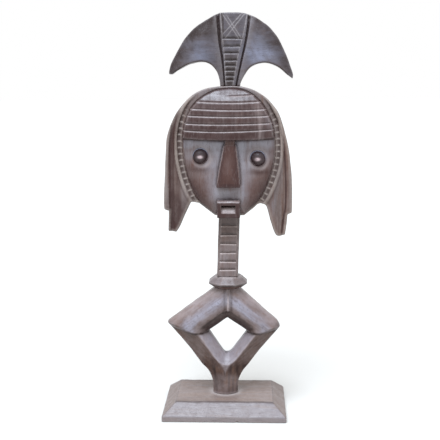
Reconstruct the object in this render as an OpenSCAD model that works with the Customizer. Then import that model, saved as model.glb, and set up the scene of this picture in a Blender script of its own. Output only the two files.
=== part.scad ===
// Carved guardian figure: crescent crest, head board with two hanging lappets,
// applied face shield, laddered neck, faceted collar, open lozenge body, bevelled plinth.
// Millimetres. +Z up, the face looks towards -Y. Origin: centre of the plinth's underside.
// Outlines are lists of [x, z] points seen from the front.

/* [Plinth] */
// Length of the plinth along X
plinth_w = 186; // [180:1:200]
// Depth of the plinth along Y
plinth_d = 138; // [124:1:150]
// Height of the plain vertical edge
plinth_edge = 8; // [6:0.5:10]
// Height of the bevel above the edge
plinth_rise = 17; // [15:0.5:20]
// Horizontal run of the bevel
plinth_run = 20; // [12:1:26]

/* [Body] */
// Front-to-back thickness of the lozenge arms
body_t = 48; // [44:1:54]
// Diameter of the foot tenon
foot_tenon_d = 26; // [22:1:28]
// Length of the foot tenon
foot_tenon_l = 14; // [10:1:16]

/* [Collar and neck] */
// Width of the collar across its flats
collar_w = 58; // [50:1:64]
// Width of the neck post
neck_w = 32; // [28:1:34]
// Depth of the neck post
neck_d = 32; // [28:1:34]
// Diameter of the tenon at each end of the neck
neck_tenon_d = 18; // [14:1:20]
// Length of the lower tenon below the collar
neck_tenon_l = 20; // [12:1:24]
// Length of the upper tenon in the head board
head_tenon_l = 34; // [20:1:40]
// Depth of the carved band grooves
band_depth = 1.5; // [0.5:0.25:2.5]

/* [Head] */
// Thickness of the head board
board_t = 30; // [26:1:34]
// Thickness of the face shield at the cheeks
cheek_t = 12; // [10:1:14]
// How far the brow stands in front of the cheeks
brow_out = 14; // [8:1:16]
// How far the nose stands in front of the cheeks
nose_out = 18; // [12:1:22]
// How far the mouth block stands in front of the cheeks
mouth_out = 16; // [12:1:18]
// Depth of the slot in the mouth block
mouth_slot = 7; // [4:1:9]
// Diameter of each eye button
eye_d = 24; // [20:1:26]
// Height of each eye button above the cheek
eye_h = 9; // [6:1:12]

/* [Crest] */
// Thickness of the crest at its middle
crest_t = 32; // [26:1:36]
// Thickness of the crest at its tips
crest_tip_t = 12; // [8:1:16]

/* [Fixings] */
// Diameter of the crest dowels
crest_dowel_d = 8; // [6:1:9]
// Diameter of the face dowels
face_dowel_d = 6; // [5:1:8]
// Glue gap left round a tenon or dowel, on the radius
glue_gap = 0.1; // [0.05:0.05:0.2]
// Shank diameter of the plinth screws
screw_d = 4.5; // [4:0.5:5]
// Length of the plinth screws
screw_l = 40; // [35:1:45]

/* [Hidden] */
$fn = 64;
plinth_h = plinth_edge + plinth_rise;
axis_x = 1;                 // the stem stands a little right of the plinth's middle
neck_x0 = 4.5;              // middle of the neck where it leaves the collar
neck_x1 = 7.5;              // middle of the neck where it meets the head
collar_z0 = 191.5;
collar_z1 = 210;
chin_z = 302;
tenon_y = 6;                // the upper tenon sits in the head board's thickness
board_y0 = -8;              // front plane of the head board
board_y1 = board_y0 + board_t;
cheek_y = board_y0 - cheek_t;
crest_y = 6;                // middle plane of the crest
crest_z = 494;
head_tilt = 1.9;            // lean of the neck over its height, in degrees
eyes = [[-34.5, 392], [50, 388.5]];
crest_dowel_x = [3.5, 15.5];
face_dowel_p = [[-30, 440], [44, 440], [-22, 350], [36, 350]];
screw_x = [axis_x - 8, axis_x + 8];
band_z = [219.5, 231.5, 245, 258.5, 272, 286.5];
brow_z = 418;
forehead_z = [429, 439, 450, 460, 471, 480];
rung_z = [502, 509, 516, 523.5, 531, 541, 551, 562];

// Catmull-Rom point between b and c
function cr(a, b, c, d, t) = 0.5 * (2 * b + (c - a) * t + (2 * a - 5 * b + 4 * c - d) * t * t
                            + (3 * b - 3 * c + d - a) * t * t * t);
// smooth curve through the points p, n steps a span, ends kept
function arc(p, n = 2) = let (m = len(p) - 1) concat(
    [for (i = [0 : m - 1]) for (k = [0 : n - 1])
        cr(p[max(i - 1, 0)], p[i], p[i + 1], p[min(i + 2, m)], k / n)], [p[m]]);
// front-view outline made into a slab from y0 to y1
module slab(p, y0, y1) { translate([0, y1, 0]) rotate([90, 0, 0]) linear_extrude(y1 - y0) polygon(p); }
// side-view outline of [y, z] points run along X
module rail(p, x0, x1) { translate([x0, 0, 0]) rotate([90, 0, 90]) linear_extrude(x1 - x0) polygon(p); }
// round hole or peg along Y
module rod_y(x, z, y0, y1, r) { translate([x, y1, z]) rotate([90, 0, 0]) cylinder(h = y1 - y0, r = r); }
// bar of a given section from p to q, section u across and v front to back
module bar(p, q, sec) {
    d = q - p;
    translate([p[0], 0, p[1]]) rotate([0, atan2(d[0], d[1]), 0]) linear_extrude(norm(d)) polygon(sec);
}
// section of an arm: w wide, t thick, flat of the front from a to b
function arm(w, t, a, b) = [[-w / 2, -6], [a, -t / 2], [b, -t / 2], [w / 2, -6],
                            [w / 2, 6], [b, t / 2], [a, t / 2], [-w / 2, 6]];

crest_out = concat(
    arc([[-81, 512], [-81, 517], [-77, 529], [-68, 546], [-57, 563], [-41, 580], [-23, 591], [-12, 596.5], [-5, 600]]),
    arc([[11, 600], [28, 599], [38.5, 596.5]]),
    arc([[50, 591], [65.5, 580], [76, 568.5], [83, 557], [91, 540], [98, 522], [102, 511], [101.5, 504]]),
    arc([[93, 510.5], [79, 522], [60, 528], [41, 522.5], [31, 511], [25, 500], [24, crest_z]]),
    arc([[-5, crest_z], [-6.5, 505], [-11, 517], [-20, 526], [-34, 530], [-51, 526], [-69, 517], [-76, 512]]));

coiffure_out = concat(
    arc([[-84, 309], [-89, 310.5], [-91, 314], [-91, 330], [-89, 366], [-87, 402], [-85, 420], [-79.5, 438], [-70, 456],
         [-56, 473.5], [-40, 485], [-25, 491], [-6, 494]]),
    arc([[25, 494], [36, 491], [50, 485], [66, 473.5], [80, 456], [89.5, 429], [96, 402], [99.5, 375], [101.5, 339], [101.5, 306]]),
    [[95, 303], [94, 289], [91.5, 272]],
    arc([[84, 270], [78, 272], [72.5, 283.5], [65, 310], [61, 318], [54, 320]]),
    [[50, 319], [30, chin_z], [-14, chin_z], [-38, 321]],
    arc([[-47, 322.5], [-51, 321], [-60, 301], [-67.5, 284], [-73, 276]]),
    [[-85, 278]]);

face_out = concat(
    arc([[-14.5, 305], [-30, 317], [-43, 331], [-54, 358], [-60, 384], [-62, 406], [-62, 421], [-57, 446], [-46, 466],
         [-30, 480], [-11, 489]]),
    arc([[7, 491], [25, 489.5], [42, 482], [57, 468], [67, 452], [73, 436], [76, 412], [75, 386], [68, 358], [55, 330],
         [40, 314], [31, 305]]));

window = concat([[4.5, 143.5], [34, 124]], arc([[10, 91], [6, 88], [1, 87.5], [-3, 91]]), [[-25, 124]]);

lozenge_out = concat([[-14, collar_z0], [-87.5, 137.5]],
    arc([[-87, 135], [-58, 101], [-37, 73], [-26, 60], [-20, 48], [-18, 36], [-18, plinth_h]]),
    arc([[20, plinth_h], [20, 36], [22, 48], [28, 60], [38, 73], [58, 99], [82, 127], [84, 132]]),
    [[80, 138.5], [21.5, collar_z0]]);

module plinth() color([0.66, 0.61, 0.60]) difference() {
    intersection() {
        rail([[-plinth_d / 2, 0], [plinth_d / 2, 0], [plinth_d / 2, plinth_edge], [plinth_d / 2 - plinth_run, plinth_h],
              [plinth_run - plinth_d / 2, plinth_h], [-plinth_d / 2, plinth_edge]], -plinth_w, plinth_w);
        slab([[-plinth_w / 2, 0], [plinth_w / 2, 0], [plinth_w / 2, plinth_edge], [plinth_w / 2 - plinth_run, plinth_h],
              [plinth_run - plinth_w / 2, plinth_h], [-plinth_w / 2, plinth_edge]], -plinth_d, plinth_d);
    }
    translate([axis_x, 0, plinth_h - foot_tenon_l - 0.5]) cylinder(h = foot_tenon_l + 1, d = foot_tenon_d + 2 * glue_gap);
    for (x = screw_x) translate([x, 0, 0]) {
        translate([0, 0, -1]) cylinder(h = plinth_h, d = screw_d + 0.5);
        rotate_extrude() polygon([[0, -0.5], [screw_d + 0.5, -0.5], [screw_d + 0.5, 0.7], [screw_d / 2, screw_d / 2 + 1.2], [0, screw_d / 2 + 1.2]]);
    }
}

module lozenge_body() color([0.55, 0.49, 0.49]) difference() {
    union() {
        intersection() {
            slab(lozenge_out, -40, 40);
            union() {
                // upper arms, mitred over the middle
                for (s = [-1, 1]) intersection() {
                    bar([4 - s * 24, 192], [4 + s * 96, 108], arm(52, body_t, s < 0 ? 0 : -17, s < 0 ? 17 : 0));
                    slab([[4, 0], [4 + s * 200, 0], [4 + s * 200, 300], [4, 300]], -60, 60);
                }
                // lower arms, each with one long arris
                bar([-77, 136], [8, 32], arm(46, body_t - 4, -5, -4));
                bar([74, 132], [-8, 32], arm(46, body_t - 4, 4, 5));
            }
        }
        translate([axis_x, 0, plinth_h]) cylinder(h = 35, r = 18);
        translate([axis_x, 0, plinth_h - foot_tenon_l]) cylinder(h = foot_tenon_l + 1, d = foot_tenon_d);
    }
    slab(window, -45, 45);
    translate([neck_x0, 0, collar_z0 - neck_tenon_l - 0.5]) cylinder(h = neck_tenon_l + 1, d = neck_tenon_d + 2 * glue_gap);
    for (x = screw_x) translate([x, 0, 0]) cylinder(h = screw_l + 1.6, d = screw_d);
}

module collar() color([0.60, 0.56, 0.57]) difference() {
    translate([5, 0, 0]) rotate([0, 0, 22.5]) union() {
        k = 1 / cos(22.5);
        translate([0, 0, collar_z0]) cylinder(h = 7, r1 = 20.5 * k, r2 = collar_w / 2 * k, $fn = 8);
        translate([0, 0, collar_z0 + 7]) cylinder(h = 2, r = collar_w / 2 * k, $fn = 8);
        translate([0, 0, collar_z0 + 9]) cylinder(h = collar_z1 - collar_z0 - 9, r1 = collar_w / 2 * k, r2 = 18 * k, $fn = 8);
    }
    translate([neck_x0, 0, collar_z0 - 1]) cylinder(h = 30, d = neck_tenon_d + 2 * glue_gap);
}

module neck() color([0.53, 0.48, 0.48]) difference() {
    union() {
        intersection() {
            slab([[neck_x0 - neck_w / 2, collar_z1], [neck_x0 + neck_w / 2, collar_z1],
                  [neck_x1 + neck_w / 2, chin_z], [neck_x1 - neck_w / 2, chin_z]], -neck_d / 2, neck_d / 2);
            translate([6, 0, collar_z1]) linear_extrude(chin_z - collar_z1)
                polygon([for (i = [0 : 3]) for (s = [0, 1]) let (h = neck_w / 2 + 1.5, d = neck_d / 2, c = 1.5)
                    i == 0 ? [h - s * 3, -d + (1 - s) * 3] : i == 1 ? [-h + (1 - s) * 3, -d + s * 3]
                    : i == 2 ? [-h + s * 3, d - (1 - s) * 3] : [h - (1 - s) * 3, d - s * 3]]);
        }
        translate([neck_x0, 0, collar_z0 - neck_tenon_l]) cylinder(h = collar_z1 - collar_z0 + neck_tenon_l + 1, d = neck_tenon_d);
        translate([neck_x1, tenon_y, chin_z - 1]) cylinder(h = head_tenon_l + 1, d = neck_tenon_d);
    }
    for (z = band_z) rail([[-neck_d / 2 - 1, z - 1.7], [-neck_d / 2 + band_depth, z], [-neck_d / 2 - 1, z + 1.7]],
                          neck_x0 + (z - collar_z1) * 0.03 - neck_w / 2 + 5, neck_x0 + (z - collar_z1) * 0.03 + neck_w / 2 - 5);
}

module coiffure() color([0.44, 0.40, 0.39]) difference() {
    intersection() {
        slab(coiffure_out, board_y0, board_y1);
        union() {
            rail([[board_y0 - 1, 250], [board_y1 - 8, 250], [board_y1, 300], [board_y1, 470], [board_y1 - 6, 500], [board_y0 - 1, 500]], -70, 80);
            linear_extrude(520) polygon([[-60, board_y0], [70, board_y0], [102, board_y0 + 5], [102, board_y1 - 9], [75, board_y1],
                                         [-65, board_y1], [-92, board_y1 - 9], [-92, board_y0 + 5]]);
        }
    }
    // long furrow down each lappet
    slab(concat(arc([[-77, 290], [-79, 330], [-80, 370], [-76, 410], [-66, 444]]),
                arc([[-62, 441], [-72, 408], [-75, 370], [-73, 330], [-72, 290]])), board_y0 - 5, board_y0 + 3);
    slab(concat(arc([[83, 290], [86, 330], [87, 370], [83, 410], [74, 440]]),
                arc([[78, 443], [88, 412], [92, 370], [91, 330], [88, 290]])), board_y0 - 5, board_y0 + 3);
    translate([neck_x1, tenon_y, chin_z - 1]) cylinder(h = head_tenon_l + 1.5, d = neck_tenon_d + 2 * glue_gap);
    for (x = crest_dowel_x) translate([x, crest_y, crest_z - 17]) cylinder(h = 40, d = crest_dowel_d + 2 * glue_gap);
    for (p = face_dowel_p) rod_y(p[0], p[1], board_y0 - 1, board_y0 + 10.5, face_dowel_d / 2 + glue_gap);
}

module face_shield() color([0.47, 0.43, 0.44]) difference() {
    union() {
        // cheeks
        slab(face_out, cheek_y, board_y0);
        // forehead, leaning back towards the crown
        intersection() {
            slab(face_out, cheek_y - 30, board_y0);
            rail([[board_y0, brow_z], [cheek_y - brow_out, brow_z], [cheek_y - brow_out + 1, 446], [cheek_y - 5, 472],
                  [cheek_y + 5, 492], [board_y0, 492]], -70, 85);
        }
        // nose: a wedge, wide and high at its foot
        intersection() {
            slab([[-11, 347], [25, 347], [17, brow_z + 1], [1.5, brow_z + 1]], cheek_y - 30, cheek_y + 1);
            rail([[cheek_y + 1, 347], [cheek_y - nose_out, 347], [cheek_y - 6, brow_z + 1], [cheek_y + 1, brow_z + 1]], -20, 35);
        }
        // mouth block
        translate([-10, cheek_y - mouth_out, chin_z]) cube([34, mouth_out + 11, 26]);
    }
    translate([-4, cheek_y - mouth_out - 1, chin_z + 6]) cube([22, mouth_slot + 1, 13]);
    for (z = forehead_z) rail([[cheek_y - 30, z - 4], [cheek_y - brow_out + band_depth + (z - 429) * 0.02, z],
                               [cheek_y - 30, z + 1]], z > 470 ? -20 : -60, z > 470 ? 40 : 72);
    for (p = eyes) rod_y(p[0], p[1], cheek_y - 1, cheek_y + 9, 4 + glue_gap);
    for (p = face_dowel_p) rod_y(p[0], p[1], board_y0 - 8, board_y0 + 1, face_dowel_d / 2 + glue_gap);
}

// turned button: rim, ring groove and dome, with its peg
module button(p) translate([p[0], cheek_y, p[1]]) rotate([90, 0, 0]) rotate_extrude()
    polygon(concat([[0, -8.5], [4, -8.5], [4, 0], [eye_d / 2, 0], [eye_d / 2, eye_h * 0.3], [eye_d / 2 - 1.5, eye_h * 0.5], [eye_d / 2 - 3, eye_h * 0.45]],
        [for (i = [0 : 8]) let (a = 10 + i * 10) [(eye_d / 2 - 4) * cos(a), eye_h * (0.3 + 0.7 * sin(a))]]));
module eye_left() color([0.42, 0.36, 0.35]) button(eyes[0]);
module eye_right() color([0.42, 0.36, 0.35]) button(eyes[1]);

module crest() color([0.48, 0.48, 0.53]) difference() {
    intersection() {
        slab(crest_out, crest_y - crest_t / 2, crest_y + crest_t / 2);
        linear_extrude(620) polygon([for (s = [-1, 1]) for (q = [[-82, crest_tip_t], [-45, crest_t * 0.72], [-8, crest_t - 2], [-4, crest_t],
            [26, crest_t], [30, crest_t - 2], [65, crest_t * 0.72], [103, crest_tip_t]])
            [s < 0 ? q[0] : 21 - q[0], crest_y + s * q[1] / 2]]);
        rail([[crest_y - 13, crest_z], [crest_y + 13, crest_z], [crest_y + 16, 520], [crest_y + 18, 560], [crest_y + 12, 601],
              [crest_y - 12, 601], [crest_y - 18, 560], [crest_y - 16, 520]], -90, 110);
    }
    for (z = rung_z) rail([[crest_y - 30, z - 7], [crest_y - 14 + band_depth * 0.5, z], [crest_y - 30, z + 7]], 3, 15 + (z - 500) * 0.15);
    for (x = crest_dowel_x) translate([x, crest_y, crest_z - 1]) cylinder(h = 17.5, d = crest_dowel_d + 2 * glue_gap);
}

module crest_dowels() color([0.72, 0.60, 0.45]) for (x = crest_dowel_x)
    translate([x, crest_y, crest_z - 16]) cylinder(h = 32, d = crest_dowel_d);
module face_dowels() color([0.72, 0.60, 0.45]) for (p = face_dowel_p)
    rod_y(p[0], p[1], board_y0 - 7.5, board_y0 + 10, face_dowel_d / 2);
// countersunk wood screws, driven up through the plinth into the stem
module plinth_screws() color("silver") for (x = screw_x) translate([x, 0, 0.6]) rotate_extrude()
    polygon([[0, 0.8], [0.9, 0.8], [0.9, 0], [screw_d - 0.2, 0], [screw_d - 0.2, 0.5], [screw_d / 2 - 0.1, screw_d / 2 + 0.8],
             [screw_d / 2 - 0.1, screw_l - 5], [0.3, screw_l], [0, screw_l]]);

plinth();
lozenge_body();
collar();
neck();
coiffure();
face_shield();
eye_left();
eye_right();
crest();
crest_dowels();
face_dowels();
plinth_screws();
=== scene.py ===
import math

import bpy
import numpy as np
from mathutils import Matrix, Vector


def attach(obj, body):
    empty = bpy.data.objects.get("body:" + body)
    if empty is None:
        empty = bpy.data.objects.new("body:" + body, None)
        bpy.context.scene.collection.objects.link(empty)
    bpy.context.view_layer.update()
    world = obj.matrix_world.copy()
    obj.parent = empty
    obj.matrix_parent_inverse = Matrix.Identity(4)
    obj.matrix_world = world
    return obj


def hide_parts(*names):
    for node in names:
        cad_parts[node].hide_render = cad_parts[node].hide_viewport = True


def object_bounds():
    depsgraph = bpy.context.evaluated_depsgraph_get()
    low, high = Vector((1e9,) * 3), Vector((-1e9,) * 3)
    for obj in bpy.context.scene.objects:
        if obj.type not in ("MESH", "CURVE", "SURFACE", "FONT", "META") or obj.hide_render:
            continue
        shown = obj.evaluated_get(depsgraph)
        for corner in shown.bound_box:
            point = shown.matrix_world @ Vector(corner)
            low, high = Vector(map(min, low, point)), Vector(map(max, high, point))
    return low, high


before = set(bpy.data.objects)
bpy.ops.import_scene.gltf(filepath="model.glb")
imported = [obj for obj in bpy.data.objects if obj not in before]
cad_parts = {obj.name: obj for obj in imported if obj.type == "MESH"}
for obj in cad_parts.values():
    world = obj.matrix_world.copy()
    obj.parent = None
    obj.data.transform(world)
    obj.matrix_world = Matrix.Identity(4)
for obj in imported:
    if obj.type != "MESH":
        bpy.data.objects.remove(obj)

CAD_LO, CAD_HI = [np.array(c) * 1000 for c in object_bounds()]
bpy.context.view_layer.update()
STEP = 1.0
F = np.float32

# ---------------------------------------------------------------- small maths


def smax(a, b, k):
    h = np.clip(k - np.abs(a - b), 0, None) / k
    return np.maximum(a, b) + h * h * k * 0.25


def smin(a, b, k):
    return -smax(-a, -b, k)


def step(a, b, x):
    t = np.clip((x - a) / (b - a), 0, 1)
    return t * t * (3 - 2 * t)


def lerp(x, xs, ys):
    return np.interp(x, xs, ys).astype(F)


def curve(p, n=6):
    """Catmull-Rom curve through the points, ends kept."""
    p = np.array(p, float)
    out = []
    for i in range(len(p) - 1):
        a, b, c, d = p[max(i - 1, 0)], p[i], p[i + 1], p[min(i + 2, len(p) - 1)]
        for k in range(n):
            t = k / n
            out.append(0.5 * (2 * b + (c - a) * t + (2 * a - 5 * b + 4 * c - d) * t * t + (3 * b - 3 * c + d - a) * t ** 3))
    out.append(p[-1])
    return np.array(out)


def joined(*parts):
    return np.concatenate([np.array(q, float) for q in parts])


def to_line(p, x, z, closed=False):
    """Distance to a polyline, and arc length along it at the nearest point."""
    p = np.asarray(p, float)
    ends = np.concatenate([p[1:], p[:1]]) if closed else p[1:]
    starts = p if closed else p[:-1]
    best = np.full(x.shape, 1e9, F)
    arc = np.zeros(x.shape, F)
    run = 0.0
    for a, b in zip(starts, ends):
        d = b - a
        n = float(math.hypot(*d))
        if n < 1e-6:
            continue
        ux, uz = d / n
        t = np.clip((x - a[0]) * ux + (z - a[1]) * uz, 0, n)
        q = (x - a[0] - t * ux) ** 2 + (z - a[1] - t * uz) ** 2
        m = q < best
        best = np.where(m, q, best)
        arc = np.where(m, run + t, arc)
        run += n
    return np.sqrt(best), arc


def outline(p, x, z):
    """Signed distance to a closed outline, negative inside."""
    d, arc = to_line(p, x, z, True)
    p = np.asarray(p, float)
    q = np.concatenate([p[1:], p[:1]])
    inside = np.zeros(x.shape, bool)
    for a, b in zip(p, q):
        if a[1] == b[1]:
            continue
        c = (a[1] > z) != (b[1] > z)
        inside ^= c & (x < (b[0] - a[0]) * (z - a[1]) / (b[1] - a[1]) + a[0])
    return np.where(inside, -d, d).astype(F)


LAT = {}


def noise(p, size, seed):
    """Smooth noise in -1..1 at points p (..., 3) in mm; size is the lump size along each axis."""
    if seed not in LAT:
        LAT[seed] = (np.random.default_rng(seed).random((32, 32, 32)) * 2 - 1).astype(F)
    lat = LAT[seed]
    q = p / np.array(size, F)
    i = np.floor(q).astype(np.int32)
    f = (q - i).astype(F)
    f = f * f * (3 - 2 * f)
    i &= 31
    j = (i + 1) & 31
    out = 0
    for a in (0, 1):
        for b in (0, 1):
            for c in (0, 1):
                w = (f[..., 0] if a else 1 - f[..., 0]) * (f[..., 1] if b else 1 - f[..., 1]) * (f[..., 2] if c else 1 - f[..., 2])
                out = out + w * lat[(j if a else i)[..., 0], (j if b else i)[..., 1], (j if c else i)[..., 2]]
    return out


def flat_noise(x, z, size, seed):
    p = np.stack([x, np.zeros_like(x), z], -1)
    return noise(p, (size[0], 10, size[1]), seed)


def vcut(d, width, depth, power=1.0):
    """Depth of a V groove at distance d from its middle."""
    return depth * np.clip(1 - d / (width / 2), 0, 1) ** power


# ---------------------------------------------------------------- surface nets


def surface(f, lo, h):
    """Closed mesh of the zero level of f (negative inside) on a regular grid. Returns verts in mm and quads."""
    nx, ny, nz = f.shape
    s = f < 0
    c = s[:-1, :-1, :-1].astype(np.int8)
    tot = np.zeros((nx - 1, ny - 1, nz - 1), np.int8)
    for a in (0, 1):
        for b in (0, 1):
            for d in (0, 1):
                tot += s[a:nx - 1 + a, b:ny - 1 + b, d:nz - 1 + d]
    del c
    ii = np.argwhere((tot > 0) & (tot < 8))
    corner = np.array([(a, b, d) for a in (0, 1) for b in (0, 1) for d in (0, 1)])
    val = np.stack([f[ii[:, 0] + a, ii[:, 1] + b, ii[:, 2] + d] for a, b, d in corner])
    acc = np.zeros((len(ii), 3))
    cnt = np.zeros(len(ii))
    for u in range(8):
        for v in range(u + 1, 8):
            if np.abs(corner[u] - corner[v]).sum() != 1:
                continue
            m = (val[u] < 0) != (val[v] < 0)
            t = np.where(m, val[u] / np.where(m, val[u] - val[v], 1), 0)
            acc += m[:, None] * (corner[u] + t[:, None] * (corner[v] - corner[u]))
            cnt += m
    verts = np.array(lo) + (ii + acc / cnt[:, None]) * np.array(h)
    idx = np.full((nx - 1, ny - 1, nz - 1), -1, np.int64)
    idx[ii[:, 0], ii[:, 1], ii[:, 2]] = np.arange(len(ii))
    quads = []
    for ax in range(3):
        b, c = [(1, 2), (2, 0), (0, 1)][ax]
        n = [nx, ny, nz]
        sl0 = [slice(None)] * 3
        sl1 = [slice(None)] * 3
        sl0[ax] = slice(0, n[ax] - 1)
        sl1[ax] = slice(1, n[ax])
        cross = s[tuple(sl0)] != s[tuple(sl1)]
        e = np.argwhere(cross)
        e = e[(e[:, b] > 0) & (e[:, b] < n[b] - 1) & (e[:, c] > 0) & (e[:, c] < n[c] - 1)]
        first = s[e[:, 0], e[:, 1], e[:, 2]]
        q = []
        for db, dc in ((1, 1), (0, 1), (0, 0), (1, 0)):
            g = e.copy()
            g[:, b] -= db
            g[:, c] -= dc
            q.append(idx[g[:, 0], g[:, 1], g[:, 2]])
        q = np.stack(q, 1)
        q[~first] = q[~first][:, ::-1]
        quads.append(q)
    return verts, np.concatenate(quads)


def neighbours(n, quads):
    e = np.concatenate([quads[:, [0, 1]], quads[:, [1, 2]], quads[:, [2, 3]], quads[:, [3, 0]]])
    e = np.sort(e, 1)
    e = np.unique(e[:, 0].astype(np.int64) * n + e[:, 1])
    e = np.stack([e // n, e % n], 1)
    return np.concatenate([e, e[:, ::-1]])


def averaged(v, e, deg, times):
    for _ in range(times):
        v = np.stack([np.bincount(e[:, 0], v[e[:, 1], k], len(deg)) for k in range(v.shape[1])], 1) / deg[:, None]
    return v


def normals(v, quads):
    a, b, c, d = (v[quads[:, k]] for k in range(4))
    fn = np.cross(c - a, d - b)
    n = np.zeros_like(v)
    for k in range(4):
        for ax in range(3):
            n[:, ax] += np.bincount(quads[:, k], fn[:, ax], len(v))
    return n / np.maximum(np.linalg.norm(n, axis=1), 1e-9)[:, None]


def make_mesh(name, v, quads, marks):
    """Mesh object from verts in mm, quads and point attributes."""
    me = bpy.data.meshes.new(name)
    me.vertices.add(len(v))
    me.vertices.foreach_set("co", (v * 0.001).astype(F).ravel())
    me.loops.add(quads.size)
    me.loops.foreach_set("vertex_index", quads.astype(np.int32).ravel())
    me.polygons.add(len(quads))
    me.polygons.foreach_set("loop_start", np.arange(0, quads.size, 4, dtype=np.int32))
    me.polygons.foreach_set("loop_total", np.full(len(quads), 4, np.int32))
    me.polygons.foreach_set("use_smooth", np.ones(len(quads), bool))
    me.update(calc_edges=True)
    me.validate()
    for key, val in marks.items():
        at = me.attributes.new(key, "FLOAT", "POINT")
        at.data.foreach_set("value", np.clip(val, 0, 1).astype(F))
    o = bpy.data.objects.new(name, me)
    bpy.context.scene.collection.objects.link(o)
    return o


def carve(name, lo, hi, h, field, tool=0.25, paint=None, relax=1):
    """Builds one carved piece: field(x, y, z, flat x, flat z) is the solid, negative inside, all in mm."""
    h = np.array(h, float) * STEP
    lo = np.array(lo, float) - 2.2 * h
    n = np.ceil((np.array(hi, float) + 2.2 * h - lo) / h).astype(int) + 1
    xs = (lo[0] + np.arange(n[0]) * h[0]).astype(F)
    ys = (lo[1] + np.arange(n[1]) * h[1]).astype(F)
    zs = (lo[2] + np.arange(n[2]) * h[2]).astype(F)
    x2, z2 = np.meshgrid(xs, zs, indexing="ij")
    f = field(x2[:, None, :], ys[None, :, None], z2[:, None, :], x2, z2)
    v, q = surface(np.ascontiguousarray(np.broadcast_to(f, tuple(n))), lo, h)
    e = neighbours(len(v), q)
    deg = np.bincount(e[:, 0], minlength=len(v)).astype(float)
    if relax:
        s = averaged(v, e, deg, relax)
        v = v + 0.35 * (s - v)
    nn = normals(v, q)
    # knife and gouge facets, then finer unevenness
    v = v + nn * (tool * noise(v, (11, 11, 19), 3) + tool * 0.5 * noise(v, (4.5, 4.5, 8), 4))[:, None]
    v = np.clip(v, CAD_LO + 0.02, CAD_HI - 0.02)
    nn = normals(v, q)
    near = averaged(v, e, deg, max(2, int(3 / STEP)))
    wide = averaged(near, e, deg, max(6, int(16 / STEP)))
    hollow = ((near - v) * nn).sum(1)
    deep = ((wide - v) * nn).sum(1)
    unit = float(h[0])
    # cavity later darkens the hollows as painted shade; edge pales the ridges as wear
    marks = {
        "cavity": np.clip(hollow / (0.22 * unit), 0, 1) * 0.6 + np.clip(deep / (0.9 * unit), 0, 1) * 0.6,
        "edge": np.clip(-hollow / (0.22 * unit), 0, 1) * 0.7 + np.clip(-deep / (1.1 * unit), 0, 1) * 0.4,
        "wax_and_highlight": np.zeros(len(v)), "dark_and_shade": np.zeros(len(v)), "brown_and_shade": np.zeros(len(v)), "painted_sheen": np.zeros(len(v)),
    }
    if paint:
        for key, val in paint(v[:, 0].astype(F), v[:, 1].astype(F), v[:, 2].astype(F), nn).items():
            marks[key] = val
        marks["edge"] = marks["edge"] * (1 - marks.pop("dull", 0))
    return make_mesh(name, v, q, marks)

# ---------------------------------------------------------------- outlines, [x, z] in mm

CREST = joined(
    curve([[-81, 512], [-81, 517], [-77, 529], [-68, 546], [-57, 563], [-41, 580], [-23, 591], [-12, 596.5], [-5, 599.6]]),
    curve([[-5, 599.6], [11, 600], [28, 599], [38.5, 596.5]]),
    curve([[38.5, 596.5], [50, 591], [65.5, 580], [76, 568.5], [83, 557], [91, 540], [98, 522], [102, 511], [101.5, 504]]),
    curve([[101.5, 504], [93, 510.5], [79, 522], [60, 528], [41, 522.5], [31, 511], [25, 500], [24, 494]]),
    curve([[-5, 494], [-6.5, 505], [-11, 517], [-20, 526], [-34, 530], [-51, 526], [-69, 517], [-76, 512]]))
CREST_TOP = joined(
    curve([[-81, 512], [-81, 517], [-77, 529], [-68, 546], [-57, 563], [-41, 580], [-23, 591], [-5, 599.6]]),
    curve([[-5, 599.6], [11, 600], [28, 599], [38.5, 596.5]]),
    curve([[38.5, 596.5], [50, 591], [65.5, 580], [76, 568.5], [83, 557], [91, 540], [98, 522], [102, 511], [101.5, 504]]))
COIFFURE = joined(
    curve([[-84, 309], [-89, 310.5], [-91, 314], [-91, 330], [-89, 366], [-87, 402], [-85, 420], [-79.5, 438], [-70, 456],
           [-56, 473.5], [-40, 485], [-25, 491], [-6, 494]]),
    curve([[25, 494], [36, 491], [50, 485], [66, 473.5], [80, 456], [89.5, 429], [96, 402], [99.5, 375], [101.5, 339], [101.5, 306]]),
    [[95, 303], [94, 289], [91.5, 272]],
    curve([[84, 270], [78, 272], [72.5, 283.5], [65, 310], [61, 318], [54, 320]]),
    [[50, 319], [30, 302], [-14, 302], [-38, 321]],
    curve([[-47, 322.5], [-51, 321], [-60, 301], [-67.5, 284], [-73, 276]]),
    [[-85, 278]])
FACE = joined(
    curve([[-14.5, 305], [-30, 317], [-43, 331], [-54, 358], [-60, 384], [-62, 406], [-62, 421], [-57, 446], [-46, 466],
           [-30, 480], [-11, 489]]),
    curve([[-11, 489], [7, 491], [25, 489.5], [42, 482], [57, 468], [67, 452], [73, 436], [76, 412], [75, 386], [68, 358],
           [55, 330], [40, 314], [31, 305]]))
WINDOW = joined([[4.3, 145], [35, 124.3]], curve([[10, 91], [6, 88], [1, 87.5], [-3, 91]]), [[-25, 124]])
LOZENGE = joined([[-14, 191.5], [-87.5, 137.5]],
                 curve([[-87, 135], [-58, 101], [-37, 73], [-26, 60], [-20, 48], [-18, 36], [-18, 24]]),
                 curve([[20, 24], [20, 36], [22, 48], [28, 60], [38, 73], [58, 99], [82, 127], [84, 132]]),
                 [[80, 138.5], [21.5, 191.5]])

ARMS = joined([[4, 206], [-14, 191.5], [-87.5, 137.5]],
              curve([[-87, 135], [-58, 101], [-37, 73], [-26, 60], [-20, 48], [-18, 36], [-18, 10]]),
              curve([[20, 10], [20, 36], [22, 48], [28, 60], [38, 73], [58, 99], [82, 127], [84, 132]]),
              [[80, 138.5], [21.5, 191.5]])

# ---------------------------------------------------------------- crest

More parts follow.
